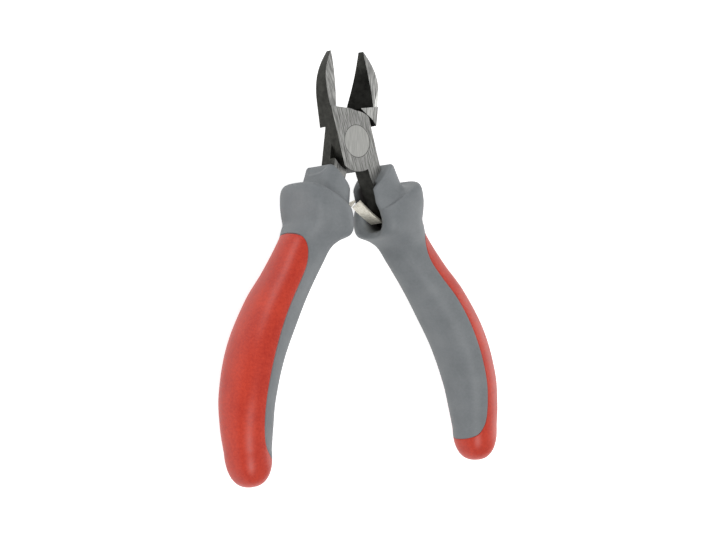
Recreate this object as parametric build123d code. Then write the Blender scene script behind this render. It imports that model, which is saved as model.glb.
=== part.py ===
"""Mini side cutter: two forged lap-joint levers on a flush rivet, two opening leaf springs
and two-material moulded grips.

The tool is laid out closed, jaws along +Y, in the plane where the two joint plates meet.
Each half is built as the one with its jaw on the left and its handle on the right, then
opened about the pivot. The finished tool has its origin on the pivot axis, in the ground
front face of the joint.
"""
import os
from math import copysign, cos, pi, radians, sin, tan

from build123d import *

# Joint
JOINT_THICKNESS = 6.4
LAP_GAP = 0.04
HEAD_HALF_WIDTH = 5.9
DISC_RADIUS = 7.8
DISC_CORNER_RADIUS = 1.6
SHOULDER_CLEARANCE = 0.15
THROAT_ANGLE = 73.0
THROAT_DISTANCE = 8.25
OPEN_HALF_ANGLE = 12.0

# Rivet
RIVET_SHANK_DIAMETER = 5.0
RIVET_HEAD_DIAMETER = 8.4
RIVET_HEAD_DEPTH = 1.5
RIVET_RUNNING_CLEARANCE = 0.04

# Jaws
JAW_LENGTH = 24.0
JAW_TIP_WIDTH = 0.5
JAW_STRAIGHT_LENGTH = 12.0
JAW_BELLY = 4.3
JAW_BELLY_STATION = 19.4
JAW_TIP_HEADING = (-1.0, -0.9)
EDGE_CLEARANCE = 0.03
BEVEL_HEEL_WIDTH = 4.5
BEVEL_TIP_WIDTH = 0.62
BEVEL_HEEL_STATION = 10.3
BEVEL_HEEL_OVERRUN = 4.0
BEVEL_TIP_OVERRUN = 2.0
BEVEL_REACH = 8.0
EDGE_HEEL_HEIGHT = -1.85
EDGE_TIP_HEIGHT = -0.35
BACK_SLOPE_START = 4.2
BACK_SLOPE_ANGLE = 9.0
FRONT_CROWN_START = 9.0
FRONT_CROWN_RADIUS = 70.0
FACE_TILT_ANGLE = 14.0

# Tangs
TANG_THICKNESS = 5.2
TANG_OUTER = 5.7
TANG_END_HEADING = (0.4, -1.0)
STRAIGHT_DOWN = (0.0, -1.0)

# Grips
GRIP_MID_DROP = 0.8
GRIP_END = 90.8
STATION_STEPS = 22
SECTION_POINTS = 16
NECK_TOP = 7.8
NECK_TOP_INNER = 7.3
NECK_TOP_OUTER = 8.3
NECK_SHOULDER_OUT = 10.6
NECK_SHOULDER_DOWN = 12.8
NECK_ROOT_DOWN = 19.0
NECK_SLANT_DOWN = 11.8
NECK_MIDDLE_OUT = 5.0
NECK_HALF_WIDTH = 5.8
NECK_HALF_DEPTH = 5.6
NECK_SQUARENESS = 2.3
NECK_ROUND = 1.0
GUARD_RISE = 0.6
GRIP_MEETING_GAP = 0.3
CHANNEL_WIDTH = 7.2
CHANNEL_END = 24.0
CHANNEL_END_RADIUS = 2.8
CHANNEL_RELIEF = 0.3
DISH_MIDDLE_DOWN = 20.6
DISH_LENGTH = 10.4
DISH_WIDTH = 9.6
DISH_DEPTH = 1.3
DISH_DRAFT = 1.1
GUARD_RIM_ROUND = 1.7

# Leaf springs
LEAF_THICKNESS = 0.6
LEAF_WIDTH = 4.7
LEAF_ROOT_OUT = 3.6
LEAF_ROOT_DOWN = 21.0
LEAF_TIP_GAP = 0.75
LEAF_REST_ANGLE = 147.0
LEAF_BOW = 0.25
LEAF_MID_DROP = 0.5
LEAF_END_SLANT = 22.0

HALF = JOINT_THICKNESS / 2
TANG_MIDDLE = HALF - TANG_THICKNESS / 2
SHOULDER_RADIUS = DISC_RADIUS + SHOULDER_CLEARANCE
THROAT = radians(THROAT_ANGLE)
TALL = 60.0
CUTTER_MARGIN = 4.0

# Grip sections from the guard rim to the end: distance out from the closed centre line,
# distance down from the pivot, half width, half depth, lean of the width, squareness, rise
GRIP_SECTIONS = [
    (8.45, 15.85, 8.5, 8.60, 19.5, 3.0, 0.6),
    (8.00, 20.4, 7.85, 8.70, 15.5, 2.9, 0.6),
    (7.85, 23.6, 7.9, 8.30, 14.5, 2.9, 0.5),
    (8.55, 26.4, 7.0, 7.20, 18.0, 2.7, 0.3),
    (10.4, 30.0, 5.85, 5.80, 24.0, 2.3, 0.1),
    (15.0, 39.3, 6.0, 6.55, 25.5, 2.3, 0.0),
    (18.4, 46.8, 6.4, 7.45, 20.5, 2.3, 0.0),
    (22.0, 58.1, 6.5, 7.85, 11.0, 2.3, 0.0),
    (23.1, 69.4, 6.35, 7.35, 0.5, 2.3, 0.0),
    (22.25, 77.0, 6.1, 6.45, -9.0, 2.3, 0.0),
    (21.2, 82.3, 5.55, 5.80, -12.5, 2.3, 0.0),
]
END_OUT = 19.0
END_LEAN = -15.0
DOME_STEPS = 4
DOME_FULL_STEPS = 4.45
DOME_SQUARENESS = 2.4

# Tang stations: distance down from the pivot, distance out, half width
TANG_STATIONS = [
    (5.0, 3.575, 2.125),
    (9.5, 3.75, 2.1),
    (16.0, 4.95, 2.2),
    (21.0, 6.3, 2.3),
    (24.5, 8.3, 2.3),
    (36.5, 15.2, 2.05),
    (48.0, 19.6, 1.9),
]

# Parting line between sleeve and core, from above the outer side round to the inner side
SEAM_POINTS = [
    (18.6, -25.2), (15.0, -26.4), (12.3, -28.0), (12.0, -31.5), (15.1, -39.3), (18.2, -46.8),
    (21.5, -58.1), (22.5, -69.4), (21.6, -77.0), (19.3, -83.0), (15.0, -85.4), (8.5, -85.6),
]


def plan(points):
    """A flat outline through straight corners."""
    return make_face(Polyline(*points, close=True))


def prism(face, low, high):
    """A plan outline raised between two heights."""
    return extrude(face.moved(Location((0, 0, low))), high - low)


def disc_outline():
    """The round joint plate, cut to the width of the head, with its free corner eased."""
    left, right = -HEAD_HALF_WIDTH, TANG_OUTER
    strip = plan([(left, -TALL), (right, -TALL), (right, TALL), (left, TALL)])
    disc = Circle(DISC_RADIUS) & strip
    corner = disc.vertices().sort_by(lambda v: -(v.X + v.Y))[0]
    return fillet(corner, DISC_CORNER_RADIUS)


def throat_point(across, clearance=0.0):
    """The point of the throat line at a distance across."""
    return (across, (THROAT_DISTANCE + clearance - across * cos(THROAT)) / sin(THROAT))


def disc_point(clearance=0.0):
    """The point of the disc where the throat leaves it."""
    reach = DISC_RADIUS + clearance
    return (reach * cos(THROAT), reach * sin(THROAT))


def jaw_outline():
    """The jaw on the left of the cutting edge, down to the pivot."""
    inner = [(0, 0), disc_point(), throat_point(-EDGE_CLEARANCE),
             (-EDGE_CLEARANCE, JAW_LENGTH), (-JAW_TIP_WIDTH, JAW_LENGTH)]
    back = Spline((-JAW_TIP_WIDTH, JAW_LENGTH), (-JAW_BELLY, JAW_BELLY_STATION),
                  (-HEAD_HALF_WIDTH, JAW_STRAIGHT_LENGTH), tangents=[JAW_TIP_HEADING, STRAIGHT_DOWN])
    side = Polyline((-HEAD_HALF_WIDTH, JAW_STRAIGHT_LENGTH), (-HEAD_HALF_WIDTH, 0), (0, 0))
    return make_face(Wire(Polyline(*inner).edges() + back.edges() + side.edges()))


def tang_outline():
    """The tang that carries the grip, from inside the disc to its rounded end."""
    inner = [(out - half, -down) for down, out, half in TANG_STATIONS]
    outer = [(out + half, -down) for down, out, half in TANG_STATIONS][::-1]
    inner_edge = Spline(*inner, tangents=[STRAIGHT_DOWN, TANG_END_HEADING])
    outer_edge = Spline(*outer[::-1], tangents=[STRAIGHT_DOWN, TANG_END_HEADING])
    top = Line(outer[-1], inner[0])
    end = Line(inner[-1], outer[0])
    return make_face(Wire(inner_edge.edges() + end.edges() + outer_edge.edges() + top.edges()))


def shoulder_keepout():
    """What the other joint plate sweeps beside this jaw and this tang."""
    start = disc_point(SHOULDER_CLEARANCE)
    top = throat_point(-EDGE_CLEARANCE - SHOULDER_CLEARANCE, SHOULDER_CLEARANCE)
    corners = [(0, 0), (-start[0], start[1]), (-top[0], top[1]), (DISC_RADIUS, top[1]), (DISC_RADIUS, 0)]
    return Circle(SHOULDER_RADIUS) + plan(corners)


def bevel_section(station):
    """The triangle that the cutting bevel removes at one station along the jaw."""
    share = (station - BEVEL_HEEL_STATION) / (JAW_LENGTH - BEVEL_HEEL_STATION)
    face_tip = HALF - (JAW_LENGTH - FRONT_CROWN_START) ** 2 / (2 * FRONT_CROWN_RADIUS)
    width = BEVEL_HEEL_WIDTH + (BEVEL_TIP_WIDTH - BEVEL_HEEL_WIDTH) * share
    edge = Vector(0, station, EDGE_HEEL_HEIGHT + (EDGE_TIP_HEIGHT - EDGE_HEEL_HEIGHT) * share)
    face = Vector(-width, station, HALF + (face_tip - HALF) * share)
    run = (face - edge).normalized() * BEVEL_REACH
    low, high = edge - run, face + run
    return Face(Wire.make_polygon([low, high, Vector(low.X, station, high.Z)]))


def beyond_throat():
    """Everything on the jaw side of the throat line."""
    block = Box(2 * TALL, TALL, TALL, align=(Align.CENTER, Align.MIN, Align.CENTER))
    return Rot(0, 0, THROAT_ANGLE - 90) * Pos(0, THROAT_DISTANCE, 0) * block


def bevel_cutter():
    """The hollow that the cutting bevel leaves between the edge and the front face."""
    heel = BEVEL_HEEL_STATION - BEVEL_HEEL_OVERRUN
    tip = JAW_LENGTH + BEVEL_TIP_OVERRUN
    cutter = loft([bevel_section(heel), bevel_section(tip)], ruled=True)
    return cutter & beyond_throat()


def back_slope_cutter():
    """The ground slope of the back, rising towards the tip."""
    block = Box(TALL, TALL, TALL, align=(Align.CENTER, Align.MIN, Align.MAX))
    return Pos(0, BACK_SLOPE_START, -HALF) * Rot(BACK_SLOPE_ANGLE, 0, 0) * block


def front_crown_cutter():
    """The long round that drops the front of the jaw towards the tip."""
    reach = JAW_LENGTH + CUTTER_MARGIN - FRONT_CROWN_START
    drop = FRONT_CROWN_RADIUS - (FRONT_CROWN_RADIUS ** 2 - reach ** 2) ** 0.5
    half_drop = FRONT_CROWN_RADIUS - (FRONT_CROWN_RADIUS ** 2 - (reach / 2) ** 2) ** 0.5
    start = (FRONT_CROWN_START, HALF)
    middle = (FRONT_CROWN_START + reach / 2, HALF - half_drop)
    end = (FRONT_CROWN_START + reach, HALF - drop)
    arc = ThreePointArc(start, middle, end)
    lid_height = HALF + CUTTER_MARGIN
    lid = Polyline(end, (end[0], lid_height), (start[0], lid_height), start)
    profile = Plane.YZ * make_face(Wire(arc.edges() + lid.edges()))
    return extrude(profile, TALL / 2, both=True)


def face_tilt_cutter():
    """The outward tilt of the front of the jaw beyond the throat."""
    block = Box(TALL, 2 * TALL, TALL, align=(Align.MAX, Align.CENTER, Align.MIN))
    tilted = Pos(-BEVEL_HEEL_WIDTH, 0, HALF) * Rot(0, -FACE_TILT_ANGLE, 0) * block
    return tilted & beyond_throat()


def rivet_solid(clearance=0.0):
    """The rivet with a cone head flush in each face of the joint."""
    shank = RIVET_SHANK_DIAMETER / 2 + clearance
    head = RIVET_HEAD_DIAMETER / 2 + clearance
    seat = HALF - RIVET_HEAD_DEPTH
    side = [(head, -HALF), (shank, -seat), (shank, seat), (head, HALF)]
    return revolve(Plane.XZ * plan([(0, -HALF), *side, (0, HALF)]), Axis.Z)


def lever(plate_in_front):
    """One forging: jaw on the left, joint plate in front or behind, tang on the right."""
    side = 1 if plate_in_front else -1
    lap = side * LAP_GAP / 2
    face = side * HALF
    tang_back = side * (HALF - TANG_THICKNESS)
    plate = disc_outline() + jaw_outline() + tang_outline()
    keepout = shoulder_keepout()
    body = prism(plate, min(lap, face), max(lap, face))
    body += prism(jaw_outline() - keepout, min(-face, lap), max(-face, lap))
    body += prism(tang_outline() - keepout, min(tang_back, lap), max(tang_back, lap))
    body -= bevel_cutter()
    body -= back_slope_cutter()
    body -= front_crown_cutter()
    body -= face_tilt_cutter()
    return body - rivet_solid(RIVET_RUNNING_CLEARANCE if plate_in_front else 0.0)


def superellipse(half_width, half_depth, squareness):
    """Points of a rounded section as distances across and deep, evenly turned."""
    points = []
    for step in range(SECTION_POINTS):
        angle = 2 * pi * (step + 0.5) / SECTION_POINTS
        across = half_width * copysign(abs(cos(angle)) ** (2 / squareness), cos(angle))
        depth = half_depth * copysign(abs(sin(angle)) ** (2 / squareness), sin(angle))
        points.append((across, depth))
    return points


def section_face(out, down, half_width, half_depth, lean, squareness, rise):
    """One grip section, standing square to the lean of the handle."""
    points = [
        (out + across * cos(radians(lean)), -down + across * sin(radians(lean)), depth + rise - GRIP_MID_DROP)
        for across, depth in superellipse(half_width, half_depth, squareness)
    ]
    return Face(Wire([Edge.make_spline(points, periodic=True)]))


def blended_row(down):
    """The section values at any distance down, on a smooth cubic through the table."""
    rows = GRIP_SECTIONS
    index = max(i for i in range(len(rows) - 1) if i == 0 or rows[i][1] <= down)
    low, high = rows[index], rows[index + 1]
    before, after = rows[max(index - 1, 0)], rows[min(index + 2, len(rows) - 1)]
    span = high[1] - low[1]
    t = (down - low[1]) / span
    values = []
    for was, a, b, then in zip(before, low, high, after):
        slope_a = (b - was) / (high[1] - before[1])
        slope_b = (then - a) / (after[1] - low[1])
        ease = a * (2 * t ** 3 - 3 * t ** 2 + 1) + b * (3 * t ** 2 - 2 * t ** 3)
        values.append(ease + span * (slope_a * (t ** 3 - 2 * t ** 2 + t) + slope_b * (t ** 3 - t ** 2)))
    return values


def dome_faces():
    """The rounded end of the handle, as shrinking sections on a quarter ellipse."""
    out, down, half_width, half_depth, lean, squareness, rise = GRIP_SECTIONS[-1]
    faces = []
    for step in range(1, DOME_STEPS + 1):
        share = sin(pi / 2 * step / DOME_FULL_STEPS)
        shrink = (1 - share ** DOME_SQUARENESS) ** (1 / DOME_SQUARENESS)
        faces.append(section_face(
            out + (END_OUT - out) * share,
            down + (GRIP_END - down) * share,
            half_width * shrink,
            half_depth * shrink,
            lean + (END_LEAN - lean) * share,
            squareness,
            rise,
        ))
    return faces


def handle_form():
    """The outer form of one grip below its guard, with the rim of the guard rounded."""
    start, end = GRIP_SECTIONS[0][1], GRIP_SECTIONS[-1][1]
    stations = [start + (end - start) * step / STATION_STEPS for step in range(STATION_STEPS + 1)]
    form = loft([section_face(*blended_row(down)) for down in stations] + dome_faces())
    rim = form.faces().sort_by(Axis.Y)[-1].edges()
    return fillet(rim, GUARD_RIM_ROUND)


def neck_form():
    """The narrow neck of the sleeve between the guard and the joint."""
    outline = plan([
        (NECK_TOP_INNER, -NECK_TOP), (NECK_TOP_OUTER, -NECK_TOP), (NECK_SHOULDER_OUT, -NECK_SHOULDER_DOWN),
        (NECK_SHOULDER_OUT, -NECK_ROOT_DOWN), (GRIP_MEETING_GAP, -NECK_ROOT_DOWN),
        (GRIP_MEETING_GAP, -NECK_SLANT_DOWN),
    ])
    points = [
        (NECK_MIDDLE_OUT + across, 0, depth + GUARD_RISE - GRIP_MID_DROP)
        for across, depth in superellipse(NECK_HALF_WIDTH, NECK_HALF_DEPTH, NECK_SQUARENESS)
    ]
    bar = extrude(Face(Wire([Edge.make_spline(points, periodic=True)])), NECK_ROOT_DOWN, dir=(0, -1, 0))
    neck = bar & prism(outline, -TALL / 2, TALL / 2)
    cut = [f for f in neck.faces().filter_by(GeomType.PLANE) if f.center().Y > -NECK_SHOULDER_DOWN]
    rounded = [e for f in cut for e in f.edges().filter_by(GeomType.BSPLINE)]
    return fillet(rounded, NECK_ROUND)


def channel_form():
    """The open channel along the inner side of the grip, where the leaf spring works."""
    inner = [(out - half + CHANNEL_RELIEF, -down) for down, out, half in TANG_STATIONS if down < CHANNEL_END]
    inner_edge = Spline(*inner, tangents=[STRAIGHT_DOWN, TANG_END_HEADING])
    first, last = inner[0], inner[-1]
    rest = Polyline(last, (last[0], -CHANNEL_END), (-TALL, -CHANNEL_END), (-TALL, first[1]), first)
    outline = make_face(Wire(inner_edge.edges() + rest.edges()))
    middle = GUARD_RISE - GRIP_MID_DROP
    channel = prism(outline, middle - CHANNEL_WIDTH / 2, middle + CHANNEL_WIDTH / 2)
    lower_end = channel.faces().sort_by(Axis.Y)[0].edges().filter_by(Axis.X)
    return fillet(lower_end, CHANNEL_END_RADIUS) + dish_form(middle)


def dish_form(middle):
    """The shallow dish that eases the lower mouth of the channel."""
    plane = Plane(origin=(GRIP_MEETING_GAP, -DISH_MIDDLE_DOWN, middle), x_dir=(0, 1, 0), z_dir=(1, 0, 0))
    mouth = Ellipse(DISH_LENGTH / 2, DISH_WIDTH / 2)
    floor = Ellipse(DISH_LENGTH / 2 - DISH_DRAFT, DISH_WIDTH / 2 - DISH_DRAFT)
    hollow = loft([(plane * mouth).face(), (plane.offset(DISH_DEPTH) * floor).face()], ruled=True)
    return hollow + extrude(plane.offset(-TALL) * mouth, TALL)


def core_region():
    """The outer side and the end of the handle, bounded by the parting line."""
    seam = Spline(*SEAM_POINTS)
    start, end = SEAM_POINTS[0], SEAM_POINTS[-1]
    below = -2 * TALL
    around = Polyline(end, (end[0], below), (TALL, below), (TALL, start[1]), start)
    return prism(make_face(Wire(seam.edges() + around.edges())), -TALL, TALL)


def grip(lever_solid, side):
    """The soft sleeve and the hard core of one grip, level with its own tang."""
    form = Pos(0, 0, side * TANG_MIDDLE) * (handle_form() + neck_form() - channel_form()) - lever_solid
    region = core_region()
    return form - region, form & region


def leaf_spring():
    """One bowed leaf, laid from its root in the grip to the meeting line of the handles."""
    root = Vector(LEAF_ROOT_OUT, -LEAF_ROOT_DOWN).rotate(Axis.Z, OPEN_HALF_ANGLE)
    length = (LEAF_TIP_GAP - root.X) / cos(radians(LEAF_REST_ANGLE))
    line = Spline((0, 0), (length / 2, LEAF_BOW), (length, 0))
    strip = extrude(trace(line, LEAF_THICKNESS), LEAF_WIDTH / 2, both=True)
    slant = Rot(0, LEAF_END_SLANT, 0) * Box(TALL, TALL, TALL, align=(Align.MIN, Align.CENTER, Align.CENTER))
    strip -= Pos(length - LEAF_WIDTH / 2 * tan(radians(LEAF_END_SLANT)), 0, 0) * slant
    return Pos(root.X, root.Y, -LEAF_MID_DROP) * Rot(0, 0, LEAF_REST_ANGLE) * strip


def open_half(shape):
    """Turn a half that was built closed to its rest angle."""
    return Rot(0, 0, OPEN_HALF_ANGLE) * shape


def main():
    """Build both halves, open them and write each piece."""
    front = lever(plate_in_front=True)
    back = lever(plate_in_front=False)
    sleeve_front, core_front = grip(front, 1)
    sleeve_back, core_back = grip(back, -1)
    leaf = leaf_spring()
    pieces = {
        "front_lever": open_half(front),
        "back_lever": mirror(open_half(back), Plane.YZ),
        "joint_rivet": rivet_solid(),
        "grip_sleeve_right": open_half(sleeve_front),
        "grip_core_right": open_half(core_front),
        "grip_sleeve_left": mirror(open_half(sleeve_back), Plane.YZ),
        "grip_core_left": mirror(open_half(core_back), Plane.YZ),
        "leaf_spring_right": leaf,
        "leaf_spring_left": mirror(leaf, Plane.YZ),
    }
    os.makedirs("parts", exist_ok=True)
    for name, shape in pieces.items():
        export_step(Pos(0, 0, -HALF) * shape, f"parts/{name}.step")


main()
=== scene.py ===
"""Looks of the small side cutter: moulded grips, leaf springs, steel finishes, camera and light.

Lengths of the tool are in millimetres in the grip and spring classes and become metres in the
mesh. The grips are worked out in the closed layout of the tool, jaws along +Y, and are then
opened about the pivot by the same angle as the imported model.
"""
import logging
import math
from dataclasses import dataclass, field
from enum import Enum

import bmesh
import bpy
import numpy as np
from bpy.types import Material, Node, NodeOutputs, NodeTree, Object
from mathutils import Matrix, Vector


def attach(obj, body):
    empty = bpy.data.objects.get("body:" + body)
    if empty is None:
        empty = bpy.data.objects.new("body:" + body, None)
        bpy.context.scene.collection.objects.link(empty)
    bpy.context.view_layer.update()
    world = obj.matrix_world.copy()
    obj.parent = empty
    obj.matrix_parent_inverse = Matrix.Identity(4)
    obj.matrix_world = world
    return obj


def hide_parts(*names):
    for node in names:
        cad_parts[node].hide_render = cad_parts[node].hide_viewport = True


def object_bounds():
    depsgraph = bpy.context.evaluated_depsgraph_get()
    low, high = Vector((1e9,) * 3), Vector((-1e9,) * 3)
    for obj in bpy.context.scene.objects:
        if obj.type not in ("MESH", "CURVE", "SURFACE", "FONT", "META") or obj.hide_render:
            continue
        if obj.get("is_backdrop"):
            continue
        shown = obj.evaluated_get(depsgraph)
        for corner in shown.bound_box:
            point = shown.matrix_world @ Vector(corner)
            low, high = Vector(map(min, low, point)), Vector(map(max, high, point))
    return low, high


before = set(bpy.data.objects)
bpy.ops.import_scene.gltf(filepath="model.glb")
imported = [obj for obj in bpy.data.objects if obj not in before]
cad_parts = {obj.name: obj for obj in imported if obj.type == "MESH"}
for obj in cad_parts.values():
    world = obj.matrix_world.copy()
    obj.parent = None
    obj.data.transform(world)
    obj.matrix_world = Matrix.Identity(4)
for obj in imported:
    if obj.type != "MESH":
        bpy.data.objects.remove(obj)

logging.basicConfig(level=logging.INFO, format="%(levelname)s %(message)s")
LOG = logging.getLogger("side_cutter")

MM = 0.001
TINY = 1e-9
OPEN_HALF_ANGLE = 12.0
FRONT_FACE_HEIGHT = 3.2
TANG_SHIFT = 0.6
RECESS = "recess"

Colour = tuple[float, float, float]
Place = tuple[float, float, float]
Range = tuple[float, float]
Socket = bpy.types.NodeSocket
Value = Socket | float
Inputs = dict[str | int, Value | Colour]
WHITE = (1.0, 1.0, 1.0)


class Side(Enum):
    """Which handle a grip belongs to, seen from the front."""

    RIGHT = 1
    LEFT = -1

    @property
    def word(self) -> str:
        """The side as it stands in node names."""
        return self.name.lower()

    @property
    def body(self) -> str:
        """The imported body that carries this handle."""
        return "front_half" if self is Side.RIGHT else "back_half"

    @property
    def leaf_body(self) -> str:
        """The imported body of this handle's leaf spring."""
        return f"leaf_{self.word}"


class Step(Enum):
    """One step of arithmetic between shader values."""

    ADD = "ADD"
    SUBTRACT = "SUBTRACT"
    MULTIPLY = "MULTIPLY"
    POWER = "POWER"
    ROOT = "SQRT"
    SIZE = "ABSOLUTE"
    GREATER = "MAXIMUM"


def smooth_step(value: np.ndarray) -> np.ndarray:
    """Zero below 0, one above 1 and 3v^2 - 2v^3 between.

    Args:
        value: where on the step each point lies.

    Returns:
        The height of the step at each point.
    """
    v = np.clip(value, 0.0, 1.0)
    return v * v * (3.0 - 2.0 * v)


def superellipse_radius(angle: np.ndarray, half_width: float | np.ndarray,
                        half_depth: float | np.ndarray,
                        squareness: float | np.ndarray) -> np.ndarray:
    """Polar radius of a superellipse: (|cos/a|^n + |sin/b|^n)^(-1/n).

    Args:
        angle: polar angle from the outer side, through the front.
        half_width: half the size across.
        half_depth: half the size front to back.
        squareness: the exponent n, 2 for an ellipse.

    Returns:
        The radius at each angle.
    """
    across = np.abs(np.cos(angle) / half_width) ** squareness
    deep = np.abs(np.sin(angle) / half_depth) ** squareness
    return (across + deep) ** (-1.0 / squareness)


def smooth_curve(points: np.ndarray, steps: int) -> np.ndarray:
    """Smooth curve through points: each span is a cubic of its four nearest points.

    The cubic leaves each point along the line between that point's two neighbours, half as long.

    Args:
        points: control points, one a row.
        steps: samples in each span.

    Returns:
        The sampled curve, one point a row.
    """
    padded = np.vstack([2 * points[0] - points[1], points, 2 * points[-1] - points[-2]])
    t = np.linspace(0.0, 1.0, steps, endpoint=False)[None, :, None]
    a, b, c, d = (padded[i:len(padded) - 3 + i][:, None, :] for i in range(4))
    heading = (c - a) * t
    bend = (2 * a - 5 * b + 4 * c - d) * t ** 2
    ease = (3 * b - a - 3 * c + d) * t ** 3
    spans = 0.5 * (2 * b + heading + bend + ease)
    return np.vstack([spans.reshape(-1, points.shape[1]), points[-1]])


def grid_faces(rows: int, columns: int) -> np.ndarray:
    """Quads of an open grid whose points are stored row by row.

    Args:
        rows: points along the first direction.
        columns: points along the second direction.

    Returns:
        Four point indices a face.
    """
    first = np.arange(rows * columns).reshape(rows, columns)
    corners = (first[:-1, :-1], first[1:, :-1], first[1:, 1:], first[:-1, 1:])
    return np.stack([corner.ravel() for corner in corners], axis=1)


def new_object(name: str, data: bpy.types.ID) -> Object:
    """A new object with its data, linked into the scene.

    Args:
        name: name of the object.
        data: its mesh, light or camera.

    Returns:
        The object.
    """
    made = bpy.data.objects.new(name, data)
    bpy.context.scene.collection.objects.link(made)
    return made


def mesh_piece(name: str, points: np.ndarray, faces: np.ndarray, weld: float,
               recess: np.ndarray | None = None) -> Object:
    """A smooth closed mesh from whole arrays of points and faces, with doubles merged.

    Args:
        name: name of the object.
        points: places in metres, one a row.
        faces: point indices of each quad.
        weld: distance in metres under which points are merged.
        recess: share from 0 to 1 by which each point lies in a recess, kept with the mesh.

    Returns:
        The object, linked into the scene.
    """
    mesh = bpy.data.meshes.new(name)
    mesh.from_pydata(points.tolist(), [], faces.tolist())
    if recess is not None:
        layer = mesh.attributes.new(RECESS, "FLOAT", "POINT")
        layer.data.foreach_set("value", recess.astype(np.float32))
    work = bmesh.new()
    work.from_mesh(mesh)
    bmesh.ops.remove_doubles(work, verts=work.verts, dist=weld)
    bmesh.ops.dissolve_degenerate(work, edges=work.edges, dist=weld)
    bmesh.ops.recalc_face_normals(work, faces=work.faces)
    work.to_mesh(mesh)
    work.free()
    mesh.polygons.foreach_set("use_smooth", np.ones(len(mesh.polygons), dtype=bool))
    mesh.update()
    return new_object(name, mesh)


@dataclass(frozen=True)
class Graph:
    """A node tree and the helpers that put nodes into it.

    A value is a socket or a number, and what is no socket is set as a constant.
    """

    tree: NodeTree

    def fill(self, node: Node, inputs: Inputs) -> Node:
        """Links or sets inputs of a node.

        Args:
            node: the node.
            inputs: values and colours by the name or place of their input.

        Returns:
            The node.
        """
        for key, value in inputs.items():
            socket = node.inputs[key]
            if isinstance(value, Socket):
                self.tree.links.new(value, socket)
            else:
                socket.default_value = (*value, 1.0) if socket.type == "RGBA" else value
        return node

    def node(self, kind: str, inputs: Inputs, **settings: object) -> Node:
        """A new node with its inputs filled.

        Args:
            kind: the node's type name.
            inputs: values and colours by the name or place of their input.
            **settings: properties of the node.

        Returns:
            The node.
        """
        made = self.tree.nodes.new(kind)
        for key, value in settings.items():
            setattr(made, key, value)
        return self.fill(made, inputs)

    def position(self) -> Socket:
        """The object coordinates."""
        return self.node("ShaderNodeTexCoord", {}).outputs["Object"]

    def parts(self, vector: Socket) -> NodeOutputs:
        """The outputs X, Y and Z of a vector."""
        return self.node("ShaderNodeSeparateXYZ", {"Vector": vector}).outputs

    def noise(self, cells: Place | float, turn: float = 0.0, detail: float = 3.0,
              rough: float = 0.55) -> Socket:
        """Noise over the object coordinates, turned about Z and then scaled.

        Args:
            cells: cells per metre, along each axis or the same along all.
            turn: angle in degrees by which the pattern is turned back about Z.
            detail: octaves.
            rough: weight of the finer octaves.

        Returns:
            The noise value, from 0 to 1.
        """
        scale = cells if isinstance(cells, tuple) else (cells,) * 3
        around = (0.0, 0.0, math.radians(turn))
        vector = self.position()
        for setting in ({"Rotation": around}, {"Scale": scale}):
            mapping = self.node("ShaderNodeMapping", {"Vector": vector, **setting})
            vector = mapping.outputs["Vector"]
        settings = {"Vector": vector, "Scale": 1.0, "Detail": detail, "Roughness": rough}
        return self.node("ShaderNodeTexNoise", settings).outputs["Fac"]

    def ramp(self, value: Socket, ends: Range, dark: Colour, light: Colour) -> Socket:
        """Colour that runs from dark to light between two values.

        Args:
            value: the driving value.
            ends: values at the dark and at the light end.
            dark: colour at the dark end.
            light: colour at the light end.

        Returns:
            The colour output.
        """
        made = self.node("ShaderNodeValToRGB", {"Fac": value})
        for stop, position, colour in zip(made.color_ramp.elements, ends, (dark, light)):
            stop.position, stop.color = position, (*colour, 1.0)
        return made.outputs["Color"]

    def span(self, value: Socket, source: Range, result: Range = (0.0, 1.0)) -> Socket:
        """A value carried smoothly from one range to another and held at its ends.

        Args:
            value: the driving value.
            source: start and end of the source range.
            result: results at the start and at the end.

        Returns:
            The carried value.
        """
        ends = dict(zip(("From Min", "From Max", "To Min", "To Max"), (*source, *result)))
        made = self.node("ShaderNodeMapRange", {"Value": value, **ends},
                         interpolation_type="SMOOTHSTEP")
        return made.outputs["Result"]

    def calc(self, step: Step, first: Value, second: Value = 0.0) -> Socket:
        """One step of arithmetic between two values."""
        made = self.node("ShaderNodeMath", {0: first, 1: second}, operation=step.value)
        return made.outputs["Value"]

    def blend(self, first: Socket, second: Socket, weight: float) -> Socket:
        """Weighted sum of two values: weight * first + (1 - weight) * second."""
        return self.calc(Step.ADD, self.calc(Step.MULTIPLY, first, weight),
                         self.calc(Step.MULTIPLY, second, 1.0 - weight))

    def mix(self, share: Socket, first: Socket | Colour, second: Socket | Colour) -> Socket:
        """Two colours mixed by a share.

        Args:
            share: the share of the second colour.
            first: a colour.
            second: a colour.

        Returns:
            The mixed colour.
        """
        made = self.node("ShaderNodeMix", {"Factor": share}, data_type="RGBA")
        places = [n for n, socket in enumerate(made.inputs) if socket.type == "RGBA"]
        self.fill(made, dict(zip(places, (first, second))))
        return next(socket for socket in made.outputs if socket.type == "RGBA")

    def relief(self, height: Socket, depth: float) -> Socket:
        """The normal over a relief whose heights 0 and 1 lie a depth in metres apart."""
        made = self.node("ShaderNodeBump", {"Height": height, "Strength": 1.0, "Distance": depth})
        return made.outputs["Normal"]

    def background_share(self) -> Socket:
        """One for the camera, for gloss and for what is seen through, zero for diffuse light.

        Returns:
            The share: the greatest of the three kinds of ray.
        """
        rays = self.node("ShaderNodeLightPath", {}).outputs
        seen = self.calc(Step.GREATER, rays["Is Camera Ray"], rays["Is Glossy Ray"])
        return self.calc(Step.GREATER, seen, rays["Is Transmission Ray"])


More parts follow.
